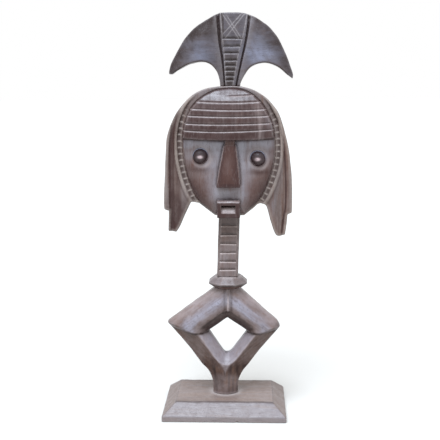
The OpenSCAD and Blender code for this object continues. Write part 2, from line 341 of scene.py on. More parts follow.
PANEL_L = curve([[-9, 601], [-7.5, 580], [-5.5, 556], [-1.5, 530], [1, 500], [1.4, 490]])
PANEL_R = curve([[38, 601], [36, 580], [32, 556], [26, 530], [19.5, 500], [18, 490]])
INNER_L = curve([[-4.5, 600], [-2.5, 572], [0.8, 540], [3, 500]])
INNER_R = curve([[34.5, 600], [29.5, 572], [21.5, 540], [13.5, 497]])
RUNGS = [502.5, 509, 516, 523.5, 531, 541, 551, 562]
CROSS = [[[-1, 597], [22, 563]], [[4, 597], [26, 563]], [[25, 597], [-1, 569]], [[29.5, 597], [2, 563]]]


def side(p, x, z):
    """Positive to the right of a line that runs down the front."""
    return x - lerp(-z, -np.array(p)[:, 1], np.array(p)[:, 0])


def crest_lines(x, z):
    """Depth of the dark furrows, the fine scored lines and the rung cuts."""
    gl = np.abs(side(PANEL_L, x, z))
    gr = np.abs(side(PANEL_R, x, z))
    wide = lerp(z, [495, 560, 600], [1.5, 2.1, 2.9])
    fur = np.maximum(vcut(gl, 2 * wide, 3.2, 0.7), vcut(gr, 2 * wide, 3.2, 0.7))
    fine = np.maximum(vcut(np.abs(side(INNER_L, x, z)), 2.0, 1.0), vcut(np.abs(side(INNER_R, x, z)), 2.0, 1.0))
    within = (side(INNER_L, x, z) > -0.5) & (side(INNER_R, x, z) < 0.5)
    for a, b in CROSS:
        d, _ = to_line([a, b], x, z)
        fine = np.maximum(fine, vcut(d, 1.9, 0.9))
    rung = np.zeros_like(x)
    for k, zz in enumerate(RUNGS):
        s = z - (zz - 0.9 * math.sin(k * 2.3) * 0.5 + (x - 10) * 0.02 * (-1) ** k)
        cut = np.where(s < 0, vcut(-s, 2.4, 2.0), vcut(s, 7.5, 2.0, 1.2))
        rung = np.maximum(rung, cut * within)
    return fur, fine * (within | (gl < 6) | (gr < 6)), rung


def crest_half(x, z):
    """Half thickness of the crest before its front is cut."""
    s = np.abs(x - 10.5)
    t = lerp(s, [0, 22, 50, 78, 94], [15.4, 15.2, 12.5, 9.0, 6.2])
    ed, _ = to_line(CREST_TOP, x, z)
    t = t * (1 - 0.34 * (1 - step(0, 17, ed)) * step(16, 34, s))
    return np.minimum(t, lerp(z, [494, 506, 530, 575, 600], [12.5, 13.8, 15.6, 15.6, 12.2]))


def crest_field(x, y, z, x2, z2):
    d = outline(CREST, x2, z2)
    d = d + 0.35 * flat_noise(x2, z2, (13, 13), 11)
    t = crest_half(x2, z2)
    fur, fine, rung = crest_lines(x2, z2)
    panel = (side(PANEL_L, x2, z2) > 0) & (side(PANEL_R, x2, z2) < 0)
    hollow = 1.0 * np.exp(-((np.abs(x2 - 10) - 52) / 20) ** 2 - ((z2 - 545) / 17) ** 2)
    scoop = 0.35 * flat_noise(x2, z2, (9, 26), 12) * ~panel
    yf = 6 - t + fur + fine + rung + 0.7 * panel + hollow + scoop
    yb = 6 + t - 0.3 * flat_noise(x2, z2, (9, 22), 13)
    yf, yb, d = yf[:, None, :], yb[:, None, :], d[:, None, :]
    f = smax(smax(d, yf - y, 2.2), y - yb, 2.2)
    # dowel holes in the foot
    for hx in (3.5, 15.5):
        f = np.maximum(f, -np.maximum(np.hypot(x - hx, y - 6) - 4.3, z - 510.5))
    return f


def crest_paint(x, y, z, n):
    fur, fine, rung = crest_lines(x, z)
    front = step(0.2, 0.6, -n[:, 1]) * (y < 4)
    rung_dark = np.zeros_like(x)
    rung_pale = np.zeros_like(x)
    within = (side(INNER_L, x, z) > 0.4) & (side(INNER_R, x, z) < -0.4)
    # rung_dark: painted shade on the upper wall of each rung cut; rung_pale: painted highlight on its lower lip
    for k, zz in enumerate(RUNGS):
        s = z - zz
        rung_dark = np.maximum(rung_dark, np.clip(1 - np.abs(s - 2.2) / 2.8, 0, 1) * within)
        rung_pale = np.maximum(rung_pale, np.clip(1 - np.abs(s + 0.4) / 0.8, 0, 1) * within)
    ed, arc = to_line(CREST_TOP, x, z)
    low = step(552, 520, z) * within
    s = np.abs(x - 10.5)
    lump = flat_noise(x, z, (16, 16), 14)
    streak = flat_noise(arc + 0.5 * ed, ed, (4.5, 9), 15)
    rim = step(23, 6, ed + 5 * lump) * step(18, 40, s)
    lining = np.exp(-(np.abs(side(PANEL_L, x, z) + 5) / 3.5) ** 2) + np.exp(-(np.abs(side(PANEL_R, x, z) - 5) / 3.5) ** 2)
    # middle: painted sheen across the middle of each wing
    middle = np.exp(-((s - 44) / np.where(x > 10, 25, 20)) ** 2 - ((z - 541) / 20) ** 2)
    root = np.exp(-((s - 22) / 11) ** 2) * step(540, 500, z)
    panel = (side(PANEL_L, x, z) > 0) & (side(PANEL_R, x, z) < 0)
    hem = np.exp(-(outline(CREST, x, z) / 2.2) ** 2) * step(5, 9, ed) * step(18, 30, s)
    flake = flat_noise(x + 0.5 * z, z, (5.5, 15), 16)
    # painted light here: the furrows are darkened as painted shade, faces that turn down are browned as painted shade,
    # and the blue terms are a painted sheen
    return {
        "wax_and_highlight": front * np.clip(np.maximum(fine * 0.95, rung_pale * 0.5) + 0.25 * lining * (0.6 + 0.4 * lump), 0, 1),
        "dark_and_shade": front * np.clip(0.95 * step(0.5, 2.0, fur) + 0.62 * rung_dark + 0.5 * low + rim * (0.66 + 0.25 * streak) + 0.6 * hem + 0.12 * flake
                                + 0.3 * panel + (x < 0) * (0.12 + 0.22 * step(60, 30, s) + 0.4 * step(555, 575, z)), 0, 1),
        "brown_and_shade": np.clip(0.9 * step(536, 512, z) * (n[:, 2] < -0.3) + 0.18 * rim * (1 + streak) + 0.9 * hem + 0.55 * low + 0.3 * root, 0, 1),
        "dull": np.clip(hem * 1.2, 0, 1),
        "painted_sheen": front * np.clip((0.80 + 0.45 * (x > 10)) * middle * (0.9 + 0.35 * flake + 0.2 * lump) + 0.12 * panel, 0, 1),
    }


# ---------------------------------------------------------------- head board

LAPPET_L = curve([[-60, 464], [-71, 446], [-78, 420], [-80.5, 390], [-81, 350], [-80, 310], [-79, 290], [-79, 272]], 4)
LAPPET_R = curve([[68, 462], [79, 444], [86, 420], [90, 390], [92, 350], [91.5, 315], [88, 290], [86, 272]], 4)


def border(x, z):
    """Offset outside the face outline, arc length along it, and how strongly the ladder border is cut."""
    o = outline(FACE, x, z)
    _, arc = to_line(FACE, x, z, True)
    on = step(470, 442, z) * step(319, 325, z) * step(-0.2, 0.9, o) * step(8.0, 6.6, o)
    return o, arc, on


def board_fields(x, z):
    o, arc, on = border(x, z)
    right = step(20, 40, x)
    left = 1 - step(-30, -10, x)
    d = outline(COIFFURE, x, z)
    bar = np.exp(-(((arc / 9.2) % 1 - 0.5) / 0.13) ** 2)
    pit = on * 1.15 * np.clip(1.15 - 1.35 * bar, 0, 1) * step(7.4, 6.2, o) * step(0.4, 4.6, o)
    rib = 1.9 * step(7.0, 8.2, o) * step(14.0, 10.0, o) * step(488, 468, z) * step(300, 330, z)
    gl, _ = to_line(LAPPET_L, x, z)
    gr, _ = to_line(LAPPET_R, x, z)
    fade = step(470, 440, z)
    furrow = 3.4 * np.exp(-(gl / lerp(x + 79, [-1, 1], [2.8, 5.6])) ** 2) * fade * left
    furrow_r = (1.2 * np.exp(-(gr / 5.0) ** 2) + 1.1 * np.exp(-(gr / 1.3) ** 2)) * fade * right
    grain = 0.8 * np.exp(-(gr / 8.0) ** 2) * fade * right * flat_noise(x, z, (2.1, 60), 22)
    grain = grain + 0.5 * np.exp(-(gl / 7.0) ** 2) * fade * left * flat_noise(x, z, (2.3, 60), 23)
    seam = vcut(np.abs(o - 0.1), 1.8, 1.3) * step(300, 318, z)
    return o, d, on, pit + seam, rib, furrow, furrow_r, grain


def board_field(x, y, z, x2, z2):
    o, d, on, pit, rib, furrow, furrow_r, grain = board_fields(x2, z2)
    d = d + 0.3 * flat_noise(x2, z2, (14, 20), 21)
    yf = -7.4 + 1.3 * on - rib + pit + furrow + furrow_r + grain
    yf = yf + 2.6 * step(318, 286, z2) * step(0, 26, np.abs(x2 - 5) - 62) + 0.3 * flat_noise(x2, z2, (8, 26), 24)
    yf = yf + 3.0 * step(10, 0, -d) * step(-20, 40, np.abs(x2 - 7)) * step(500, 430, z2) * step(300, 330, z2) * 0.5
    yb = 21.6 - 7.5 * (np.abs(x2 - 5) / 97) ** 2.4 - 3.0 * step(466, 494, z2) - 4.5 * step(318, 272, z2)
    yb = yb - 0.45 * flat_noise(x2, z2, (7.5, 40), 25)
    # the tie between the two lappet layers, seen as a step on the back as well
    yf, yb, d = yf[:, None, :], yb[:, None, :], d[:, None, :]
    f = smax(smax(d, yf - y, 2.0), y - yb, 3.2)
    f = np.maximum(f, -np.maximum(np.hypot(x - 7.5, y - 6) - 9.3, z - 337))
    for hx in (3.5, 15.5):
        f = np.maximum(f, -np.maximum(np.hypot(x - hx, y - 6) - 4.3, 477 - z))
    return f


def board_paint(x, y, z, n):
    o, d, on, pit, rib, furrow, furrow_r, grain = board_fields(x, z)
    front = step(0.0, 0.5, -n[:, 1]) * (y < 2)
    low = step(330, 290, z)
    gl, _ = to_line(LAPPET_L, x, z)
    gr, _ = to_line(LAPPET_R, x, z)
    left, right = (x < 0), (x > 10)
    lump = flat_noise(x, z, (14, 30), 26)
    _, arc, _ = border(x, z)
    bar = np.exp(-(((arc / 9.2) % 1 - 0.5) / 0.12) ** 2)
    field_l = left * step(2, 5, x + 79) * step(-62, -68, x) * step(460, 420, z)
    inner_l = left * step(14, 17, o) * step(340, 300, z)
    line = np.exp(-((o - 0.1) / 0.85) ** 2) * step(303, 316, z)
    crown = step(474, 488, z)
    # painted light here: the ladder pits are darkened towards their outer side and the lappet furrows are darkened,
    # both as painted shade, and the blue terms are a painted sheen
    return {
        "wax_and_highlight": front * np.clip((0.65 * bar + 0.12) * on + 0.30 * (rib > 0.7) * (1 + lump)
                               + 0.3 * step(5.5, 2.0, -d) * step(500, 440, z), 0, 1),
        "dark_and_shade": front * np.clip(0.72 * step(0.45, 1.1, pit) * on * step(1.6, 4.6, o) + line + 0.95 * step(0.5, 2.0, furrow) + (0.55 + 0.35 * step(370, 300, z)) * field_l * (0.85 + 0.4 * lump)
                                + 0.95 * step(345, 300, z) * left * step(8, 16, o) + 0.8 * right * step(1.2, 2.1, furrow_r) + 0.2 * right * step(9, 14, o) * step(460, 430, z), 0, 1)
        + (1 - front) * 0.12,
        "brown_and_shade": front * np.clip(0.62 * step(0.2, 1.2, furrow_r + grain) * right + 0.3 * low + 0.5 * step(0.4, 2.0, furrow)
                                + 0.5 * field_l + 0.35 * right * step(-10, -3, d) * step(440, 400, z), 0, 1),
        "painted_sheen": front * np.clip(0.4 * inner_l * (1 + lump) + 0.35 * right * step(15, 20, o) * step(14, 17, gr) + 0.3 * crown, 0, 1),
    }


# ---------------------------------------------------------------- face

BROWS = [429, 439, 450, 460, 471, 480.5]


def brow_line(x):
    return 415.9 + 3.4 * (np.abs(x - 6.8) / 68) ** 2


def forehead_cut(x, z):
    cut = np.zeros_like(x)
    pale = np.zeros_like(x)
    for k, zz in enumerate(BROWS):
        s = z - (zz - 0.6 + 2.8 * (np.abs(x - 6.8) / 68) ** 2 + 0.5 * np.sin(x / 31 + k))
        reach = 1.0 if k < 4 else (step(-46, -32, x) if k == 4 else step(-2, 18, x))
        reach = reach * (0.9 if k < 5 else 1.0)
        cut = np.maximum(cut, reach * np.where(s < 0, vcut(-s, 2.6, 1.7), vcut(s, 4.4, 1.7)))
        # pale: the lower lip of each groove, painted pale, partly as lime wax and partly as a highlight on a lip that
        # turns up
        pale = np.maximum(pale, reach * np.clip(1 - np.abs(s + 0.55) / 0.95, 0, 1))
    return cut, pale


def face_heights(x, z):
    d = outline(FACE, x, z)
    e = np.maximum(-d, 0)
    u = (x - 6.8) / 69
    cheek = -9.5 - 10.5 * (1 - np.exp(-e / 9.5)) + 2.0 * np.abs(u) ** 2
    for ex in (-32, 46):
        cheek = cheek + 2.6 * np.exp(-((x - ex) / 25) ** 2 - ((z - 398) / 22) ** 2)
    cheek = cheek - 1.6 * np.exp(-((x - 6.8) / 26) ** 2 - ((z - 340) / 22) ** 2)
    cheek = cheek + 0.35 * flat_noise(x, z, (9, 22), 31)
    cut, _ = forehead_cut(x, z)
    top = lerp(z, [414, 430, 446, 460, 472, 481, 487, 492], [-33.8, -33.6, -32.6, -30.2, -26.4, -21.4, -16.5, -11.5])
    top = top + 5.0 * np.abs(u) ** 2.4 + cut + 0.2 * flat_noise(x, z, (20, 7), 32)
    top = np.maximum(top, -10 - 24 * (1 - np.exp(-(e + 0.4) / 2.6)))
    return d, e, cheek, top


def face_field(x, y, z, x2, z2):
    d, e, cheek, top = face_heights(x2, z2)
    d = d + 0.2 * flat_noise(x2, z2, (13, 13), 33)
    three = lambda a: a[:, None, :]
    back = y + 8.05
    f1 = smax(three(d), three(cheek) - y, 1.6)
    f2 = smax(smax(three(d), three(top) - y, 2.0), three(brow_line(x2)) - z, 1.2)
    f = np.minimum(f1, f2)
    # nose
    xc = lerp(z2, [347, 416], [6.8, 9.3])
    w = lerp(z2, [347, 400, 408, 409.5, 418], [17.7, 9.7, 8.2, 7.0, 6.6])
    yn = lerp(z2, [347, 360, 408, 409.5, 418], [-37.6, -36.8, -29.0, -28.4, -27.6])
    nose = smax(three(yn) - y, np.abs(x - three(xc)) - three(w) - three(lerp(z2, [347, 372, 418], [0.01, 0.14, 0.2])) * (y - three(yn)), 1.4)
    nose = smax(nose, 347.3 + 0.12 * (y + 37) - z, 1.2)
    nose = np.maximum(np.maximum(nose, z - 419), y + 12)
    f = np.minimum(f, nose)
    # mouth block with its slot: the floor of the slot slopes out to its lower lip
    block = smax(np.abs(x - 7.1) - 17.0, -36.0 - y, 1.2)
    block = smax(smax(block, z - 327.7, 1.2), 302.3 - z, 1.0)
    block = smax(block, (z - 327.7 - 36.0 - y) * 0.707 + 2.1, 0.6)
    block = np.maximum(block, y + 9)
    f = np.minimum(f, block)
    floor = lerp(z2, [309.5, 310.5, 317.2, 318.2, 321], [-35.0, -34.0, -29.4, -25.5, -25.0])
    slot = np.maximum(np.maximum(np.abs(x - 6.9) - 10.3, np.abs(z - 315.2) - 5.2), y - three(floor))
    f = smax(f, -slot, 0.8)
    f = np.maximum(f, back)
    for px, pz in ((-34.5, 392), (50, 388.5)):
        hole = np.maximum(np.hypot(x - px, z - pz) - 4.4, y + 11.2)
        f = np.maximum(f, -hole)
    for px, pz in ((-30, 440), (44, 440), (-22, 350), (36, 350)):
        f = np.maximum(f, -np.maximum(np.hypot(x - px, z - pz) - 3.4, -15.8 - y))
    return f


def face_paint(x, y, z, n):
    d, e, cheek, top = face_heights(x, z)
    cut, pale = forehead_cut(x, z)
    u = x - 6.8
    fore = (z > 416) & (y < -10)
    p3 = np.stack([x, y, z], -1)
    patch = 0.5 + 0.5 * noise(p3, (20, 30, 26), 34)
    streak = noise(p3, (2.2, 20, 40), 35)
    band = fore * (0.98 - 0.1 * step(466, 478, z)) * (1 - 0.3 * np.exp(-((u - 62) / 9) ** 2))
    worn = fore * np.exp(-((x - 51 + 0.06 * (z - 446)) / 5.5) ** 2) * step(475, 464, z) * (0.4 + 0.7 * streak)
    xc = lerp(z, [347, 416], [6.8, 9.3])
    w = lerp(z, [347, 408, 418], [17.4, 8.2, 6.8])
    on_nose = (y < -24) & (z < 417) & (z > 346)
    front_nose = on_nose * (np.abs(x - xc) < w - 0.2)
    nose = front_nose * (0.7 + 0.3 * step(412, 406, z)) * (1.06 - 0.36 * np.exp(-((x - 7) / 7) ** 2 - ((z - 376) / 15) ** 2))
    block = (np.abs(x - 7.1) < 17.6) & (z < 328.5) & (y < -26)
    slot = (np.abs(x - 6.9) < 11.2) & (np.abs(z - 315.2) < 6.0) & (y > -35.4) & (y < -24)
    cheeks = (~fore & ~on_nose & ~block).astype(F)
    edge = np.exp(-e / 9.0)
    rim = np.exp(-(e / 1.5) ** 2)
    halo = np.zeros_like(x)
    shadow_under_eye = np.zeros_like(x)
    highlight_crescent = np.zeros_like(x)
    # below each eye a painted shadow; crescent: a painted highlight round the lower right of each eye
    for px, pz in ((-34.5, 391.2), (50, 387.8)):
        r = np.hypot(x - px, z - pz)
        halo = np.maximum(halo, np.clip(1 - np.abs(r - 14.2) / 2.6, 0, 1))
        shadow_under_eye = np.maximum(shadow_under_eye, np.exp(-((x - px) / 15) ** 2 - ((z - pz + 19) / 4.5) ** 2))
        ring = np.arctan2(z - pz, x - px)
        highlight_crescent = np.maximum(highlight_crescent, np.exp(-((r - 16.2) / 2.0) ** 2) * np.exp(-((ring + 0.75) / 0.75) ** 2))
    jaw = step(378, 335, z + 10 * (patch - 0.5)) * step(18, 44, np.abs(u) + (z - 310) * 0.08)
    outer = step(38, 58, np.abs(u)) * step(392, 372, z)
    corner = np.exp(-((np.abs(u) - 15) / 13) ** 2 - ((z - 400) / 20) ** 2)
    # brow, corner, column and chin carry a painted sheen on the cheeks, which also lightens the shade under the brow
    brow = step(398, 413, z)
    column = np.exp(-((np.abs(u) - 24) / 11) ** 2) * step(392, 372, z) * step(318, 335, z)
    chin = np.exp(-(u / 15) ** 2) * step(345, 338, z)
    side_facet = on_nose * (np.abs(n[:, 0]) > 0.35)
    # painted light here: highlights on the slot floor, the nose's left facet and the block's top, and partly on the
    # lower lip of each forehead groove; painted shade on the nose's foot, the top of the slot, the block's faces that
    # don't turn up, the brow's lower edge and a line under it, and under each eye; the blue terms are a painted sheen
    return {
        "wax_and_highlight": np.clip(0.85 * pale * fore + (0.2 * halo + 0.55 * highlight_crescent) * cheeks + 0.5 * slot * (n[:, 2] > 0.15) * (z < 318) + 0.12 * side_facet * (n[:, 0] < 0)
                       + 0.04 * block * (n[:, 2] > 0.5) + 0.6 * worn, 0, 1),
        "dark_and_shade": np.clip(band * (0.92 + 0.2 * streak) * (1 - 0.55 * worn) + (0.78 + 0.22 * step(0.55, 0.95, np.abs(x - xc) / w)) * nose + 0.95 * on_nose * step(353.5, 350.0, z) + 1.0 * block * ~slot * (n[:, 2] < 0.4) + 0.25 * block * ~slot * (n[:, 2] >= 0.4)
                        + 0.95 * slot * ((n[:, 2] < -0.2) | (z > 318)) + cheeks * (0.5 * edge + 0.85 * rim + 0.55 * jaw * (0.55 + 0.7 * patch) + 0.6 * shadow_under_eye + 0.2 * outer)
                        + 0.95 * (z < brow_line(x) + 3.0) * fore + cheeks * 0.95 * np.exp(-((z - brow_line(x) + 1.4) / 2.3) ** 2) + 0.3 * fore * step(438, 428, z) + 0.9 * rim * fore, 0, 1),
        "brown_and_shade": np.clip((0.9 + 0.1 * patch) * nose + 0.42 * band * patch + worn * 0.5 + cheeks * (0.3 * edge + 0.8 * jaw + 0.45 * outer * patch + 0.3 * shadow_under_eye), 0, 1),
        "painted_sheen": np.clip(cheeks * (1.0 * corner + 0.95 * brow + 0.4 * step(44, 60, np.abs(u)) * step(376, 392, z) + 0.7 * column + 0.75 * chin + 0.3 * halo) * (0.7 + 0.5 * patch)
                        + 0.8 * fore * step(466, 480, z) + 0.5 * fore * np.exp(-((u - 62) / 9) ** 2) * step(425, 440, z), 0, 1),
        "dull": np.clip(on_nose * 0.85 + block * 0.7 + rim, 0, 1),
    }


# ---------------------------------------------------------------- neck

BANDS = [220.3, 232.8, 246.3, 259.9, 273.3, 287.2]


def neck_lines(x, z):
    cx = 4.5 + (z - 210) * 3.0 / 92
    u = x - cx
    cut = np.zeros_like(x)
    pale = np.zeros_like(x)
    for k, zz in enumerate(BANDS):
        s = z - zz - 0.02 * u * (-1) ** k
        m = np.abs(u) < 12.2
        cut = np.maximum(cut, m * np.where(s < 0, vcut(-s, 2.8, 1.7), vcut(s, 4.8, 1.7)))
        # pale: the lower lip of each band cut, later painted as a highlight
        pale = np.maximum(pale, m * np.clip(1 - np.abs(s + 0.7) / 1.1, 0, 1))
    rail = vcut(np.abs(np.abs(u) - 12.4), 1.9, 1.0) * step(300, 297, z)
    return cut, pale, rail, u


def neck_field(x, y, z, x2, z2):
    cut, _, rail, u = neck_lines(x2, z2)
    three = lambda a: a[:, None, :]
    yf = -15.7 + cut + rail + 0.25 * flat_noise(x2, z2, (7, 30), 41)
    body = smax(three(np.abs(u) - 15.8 + 0.25 * flat_noise(u * 0 + 3, z2, (9, 26), 42)), three(yf) - y, 3.0)
    body = smax(body, y - 15.7, 4.0)
    body = smax(smax(body, 210.1 - z, 0.6), z - 301.9, 0.6)
    low = np.maximum(np.hypot(x - 4.5, y) - 8.9, np.abs(z - 194) - 22.2)
    high = np.maximum(np.hypot(x - 7.5, y - 6) - 8.9, np.abs(z - 318) - 17.6)
    return np.minimum(np.minimum(body, low), high)


def neck_paint(x, y, z, n):
    cut, pale, rail, u = neck_lines(x, z)
    front = step(0.2, 0.6, -n[:, 1] + 0.4 * np.abs(n[:, 2])) * (y < -8)
    lump = flat_noise(x, z, (10, 16), 43)
    under = np.zeros_like(x)
    # under: painted shade on the downturned upper wall of each band cut
    for zz in BANDS:
        under = np.maximum(under, np.clip(1 - np.abs(z - zz - 2.4) / 2.6, 0, 1) * (np.abs(u) < 12))
    high = step(238, 292, z)
    # pale is a painted highlight on the lower lip of each band cut, and the blue terms are a painted sheen
    return {"wax_and_highlight": front * np.clip(0.95 * pale + 0.3 * (rail > 0.3), 0, 1),
            "dark_and_shade": front * np.clip((0.75 + 0.2 * (np.abs(z - 238) < 6)) * under * (0.8 + 0.5 * lump) + 0.35 * (np.abs(u) > 12.6) + 0.45 * high, 0, 1),
            "brown_and_shade": front * np.clip(0.3 + 0.4 * lump, 0, 1) + (1 - front) * 0.4,
            "painted_sheen": front * np.clip(0.35 * (1 - high) + 0.2, 0, 1)}


# ---------------------------------------------------------------- collar


def collar_field(x, y, z, x2, z2):
    r = lerp(z[0, 0], [190, 191.5, 198.2, 200.4, 210, 212], [19, 20.3, 29.4, 29.4, 18.2, 17.0])[None, None, :]
    f = None
    for k in range(8):
        a = math.radians(45 * k)
        reach = 1.0 - 0.012 * ((k * 5) % 3)
        g = (x - 5) * math.cos(a) + y * math.sin(a) - r * reach
        f = g if f is None else smax(f, g, 1.0)
    f = f + 0.3 * flat_noise(x2, z2, (12, 30), 51)[:, None, :]
    f = smax(smax(f * 0.8, z - 209.8, 0.7), 191.6 - z, 0.7)
    return np.maximum(f, 9.3 - np.hypot(x - 4.5, y))


def collar_paint(x, y, z, n):
    lump = flat_noise(x, z, (9, 12), 53)
    # painted light: a highlight along the top edge and on faces that turn up, painted shade on faces that turn down and
    # in a dark line under the widest ridge, and a painted bluish sheen on faces that turn up
    return {"wax_and_highlight": 0.4 * step(205.5, 209, z) + 0.1 * (n[:, 2] > 0.3),
            "dark_and_shade": np.clip(0.25 * (n[:, 2] < -0.2) + 0.9 * np.exp(-((z - 197.6) / 1.3) ** 2), 0, 1),
            "brown_and_shade": np.clip(0.75 * (n[:, 2] < -0.25) + 0.25 * lump, 0, 1),
            "painted_sheen": np.clip(0.15 + 0.35 * lump, 0, 1) * (n[:, 2] > 0)}


# ---------------------------------------------------------------- lozenge body

UPPER = [[-90, 140], [-88, 132.5], [-46, 121.5], [-26, 123], [4.5, 142.5], [35, 123], [54, 122], [85, 128], [88, 140], [30, 196], [-20, 196]]


def arms(x, z):
    do = -outline(ARMS, x, z)
    di = outline(WINDOW, x, z)
    do_, di_ = np.maximum(do, 0), np.maximum(di, 0)
    t = np.clip(do_ / np.maximum(do_ + di_, 1), 0, 1)
    across = np.clip(4 * t * (1 - t), 0, 1)
    upper = 6.5 + 17.2 * across ** lerp(t, [0, 0.5, 1], [0.62, 0.5, 0.42])
    # a flatter outer facet runs along the top of each arm
    upper = smin(upper, 9.0 + 1.35 * do_, 3)
    axis = 5.4 + 0.02 * (z - 170)
    notch = 3.4 * np.clip(1 - np.abs(x - axis) / (2.0 + 0.055 * np.clip(z - 150, 0, 40)), 0, 1) * step(148, 166, z)
    upper = upper - notch - 1.0 * np.exp(-((x - axis) / 8) ** 2) * step(146, 160, z)
    du = outline(UPPER, x, z)
    lower = smin(smin(6.5 + 0.64 * do_, 6.5 + 1.2 * di_, 2.2), 22.4 + 0 * x, 1.0)
    foot = step(62, 30, z)
    lower = lower * (1 - foot) + foot * np.sqrt(np.maximum(18.4 ** 2 - ((x - 1) * 0.9) ** 2, 60))
    return do, di, upper, lower, du, notch


def body_field(x, y, z, x2, z2):
    do, di, upper, lower, du, notch = arms(x2, z2)
    do = do + 0.35 * flat_noise(x2, z2, (13, 13), 61)
    di = di + 0.3 * flat_noise(x2, z2, (11, 11), 62)
    three = lambda a: a[:, None, :]
    wob = 0.45 * flat_noise(x2, z2, (12, 16), 63)
    ay = np.abs(y)
    edge = smax(three(-do), three(-di), 2.0)
    f1 = smax(smax(edge, ay - three(upper + wob), 2.2), three(du), 3.2)
    f2 = smax(edge, ay - three(lower + wob), 1.6)
    f = smin(f1, f2, 0.8)
    f = smax(f, z - 191.4, 0.8)
    f = smax(f, 25.1 - z, 0.8)
    f = np.minimum(f, np.maximum(np.hypot(x - 1, y) - 12.8, np.abs(z - 20) - 8.9))
    f = np.maximum(f, -np.maximum(np.hypot(x - 4.5, y) - 9.4, 171 - z))
    for sx in (-7, 9):
        f = np.maximum(f, -np.maximum(np.hypot(x - sx, y) - 2.6, z - 42))
    return f


def body_paint(x, y, z, n):
    do, di, upper, lower, du, notch = arms(x, z)
    up = ((du < 1.5) & (z > 116)).astype(F)
    p3 = np.stack([x, y, z], -1)
    lump = noise(p3, (17, 17, 17), 64)
    # grain runs along each bar
    run = np.where(x > 4, 1, -1) * np.where(up > 0, 0.73, -0.8)
    along = x * 1.0 - z * run
    cross = x * run + z
    streak = noise(np.stack([along * 0.06, y * 0.25, cross * 0.5], -1), (1, 1, 1), 65)
    upright = noise(np.stack([x * 0.32, y * 0.2, z * 0.045], -1), (1, 1, 1), 66)
    # under: painted shade on faces that turn down
    under = step(0.02, 0.42, -n[:, 2])
    stem = step(86, 60, z)
    streak = streak * (1 - stem) + upright * stem
    t = np.clip(np.maximum(do, 0) / np.maximum(np.maximum(do, 0) + np.maximum(di, 0), 1), 0, 1)
    front = np.abs(n[:, 1])
    # glow: a painted highlight band along each upper arm
    glow = np.exp(-((t - 0.40 - 0.05 * lump) / 0.13) ** 2) * step(0.2, 0.5, front)
    # lower_side: painted shade on the inner bevel of the upper arms, which turns down
    lower_side = step(0.56, 0.80, t + 0.06 * lump) * (z > 118)
    # mitre: painted shade along both edges of the notch
    mitre = np.exp(-((np.abs(x - 5.4) - 5.0) / 2.2) ** 2) * up * step(150, 160, z)
    low = 1 - up
    # inner: the lower arms' inner facets, which turn up, painted lighter and bluish as painted light
    inner = low * step(-0.05, 0.3, n[:, 2]) * (1 - stem)
    # the wax term on the top bevel of the upper arms is painted light on a face that turns up
    return {
        "wax_and_highlight": np.clip(0.6 * step(0.8, 2.4, notch) * (z < 190) + 0.35 * step(31, 25, z) + 0.22 * up * step(0.18, 0.06, t) * (0.8 + lump) + 0.2 * inner * step(0.2, 0.4, front), 0, 1),
        "dark_and_shade": np.clip(up * (0.66 * lower_side + 0.5 * under + 0.22 * np.clip(streak, 0, 1)) + low * (under * (0.3 + 0.2 * front) + 0.22 * np.clip(streak, -0.5, 1))
                        + stem * (0.36 + 0.35 * streak) + 0.7 * np.exp(-(du / 1.8) ** 2) * (z < 130)
                        + 0.9 * step(70, 86, np.abs(x + 1.5)) * step(144, 134, z) + 0.5 * mitre, 0, 1),
        "brown_and_shade": np.clip(up * (0.5 * lower_side + 0.3 * under) + low * (0.45 + 0.3 * front) * under + stem * (0.35 - 0.5 * streak)
                        + 0.35 * step(60, 80, np.abs(x - 5)) + 0.35 * np.clip(streak + 0.2 * lump, 0, 1), 0, 1),
        "painted_sheen": np.clip(up * (0.95 * glow + 0.3 * step(0.15, 0.3, t) * step(0.62, 0.5, t)) + 0.6 * inner * (1 + 0.5 * streak)
                        + 0.35 * np.exp(-((z - 70) / 13) ** 2 - ((x - 3) / 20) ** 2), 0, 1),
    }


# ---------------------------------------------------------------- plinth


def plinth_field(x, y, z, x2, z2):
    wob = 0.5 * noise(np.stack(np.broadcast_arrays(x, y * 0, z * 0), -1).astype(F)[:, :, :1], (17, 10, 10), 71)
    wob2 = 0.35 * noise(np.stack(np.broadcast_arrays(x * 0, y, z * 0), -1).astype(F)[:, :, :1], (10, 19, 10), 72)
    ax, ay = np.abs(x), np.abs(y)
    f = smax(ax - 92.9, ay - 68.9, 1.6)
    k = 17 / math.hypot(17, 20)
    m = 20 / math.hypot(17, 20)
    f = smax(f, (ay - 69) * k + (z - 8) * m + wob * 0.35, 0.9)
    f = smax(f, (ax - 93) * k + (z - 8) * m + wob2 * 0.35, 0.9)
    f = smax(f, z - 24.95 + wob * 0.12, 0.7)
    f = smax(f, 0.02 - z, 0.9)
    # nick in the front lower edge
    f = np.maximum(f, -(np.sqrt((x - 19.5) ** 2 + (y + 70) ** 2 + (z + 0.5) ** 2) - 2.9))
    f = np.maximum(f, -(np.sqrt((x - 91.5) ** 2 + (y - 71) ** 2 * 0.4 + (z - 9) ** 2) - 3.4))
    f = np.maximum(f, -np.maximum(np.hypot(x - 1, y) - 13.5, 10.5 - z))
    for sx in (-7, 9):
        f = np.maximum(f, -(np.hypot(x - sx, y) - np.maximum(2.6, 5.2 - z)))
    return f


